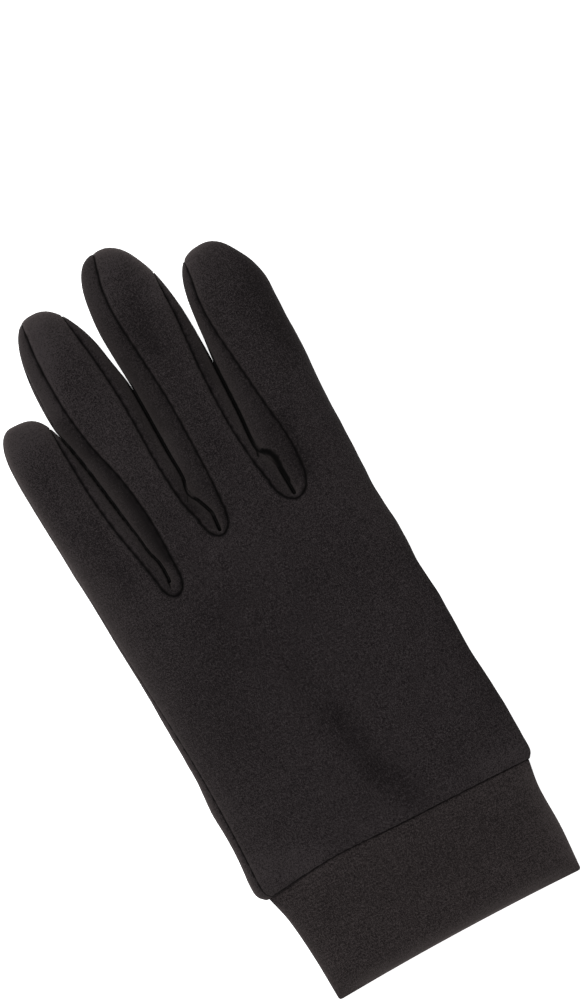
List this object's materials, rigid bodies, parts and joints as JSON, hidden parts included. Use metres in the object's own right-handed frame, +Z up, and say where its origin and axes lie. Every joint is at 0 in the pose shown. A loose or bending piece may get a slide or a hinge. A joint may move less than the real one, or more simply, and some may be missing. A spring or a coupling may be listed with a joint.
{
  "type": "running glove",
  "caption": "Thin stretch-knit running glove with sewn finger gussets, a set-in thumb folded under the palm and a doubled wrist band, lying back up.",
  "frame": {"origin": "on the table, below the middle of the glove's bounding box", "axes": "+Y from the hem to the fingertips, +Z up out of the back of the hand, +X towards the thumb side"},
  "size_m": [0.1008, 0.241, 0.0154],
  "materials": {
    "knit": "matt brushed stretch knit, warm near-black",
    "gusset_knit": "matt stretch knit, warm near-black",
    "band_knit": "matt smooth doubled stretch knit, warm near-black"
  },
  "bodies": {
    "root": {"back_panel": "knit", "palm_panel": "knit", "fourchette_little_ring": "gusset_knit", "fourchette_ring_middle": "gusset_knit", "fourchette_middle_index": "gusset_knit", "thumb": "knit", "wrist_band": "band_knit"}
  },
  "joints": []
}
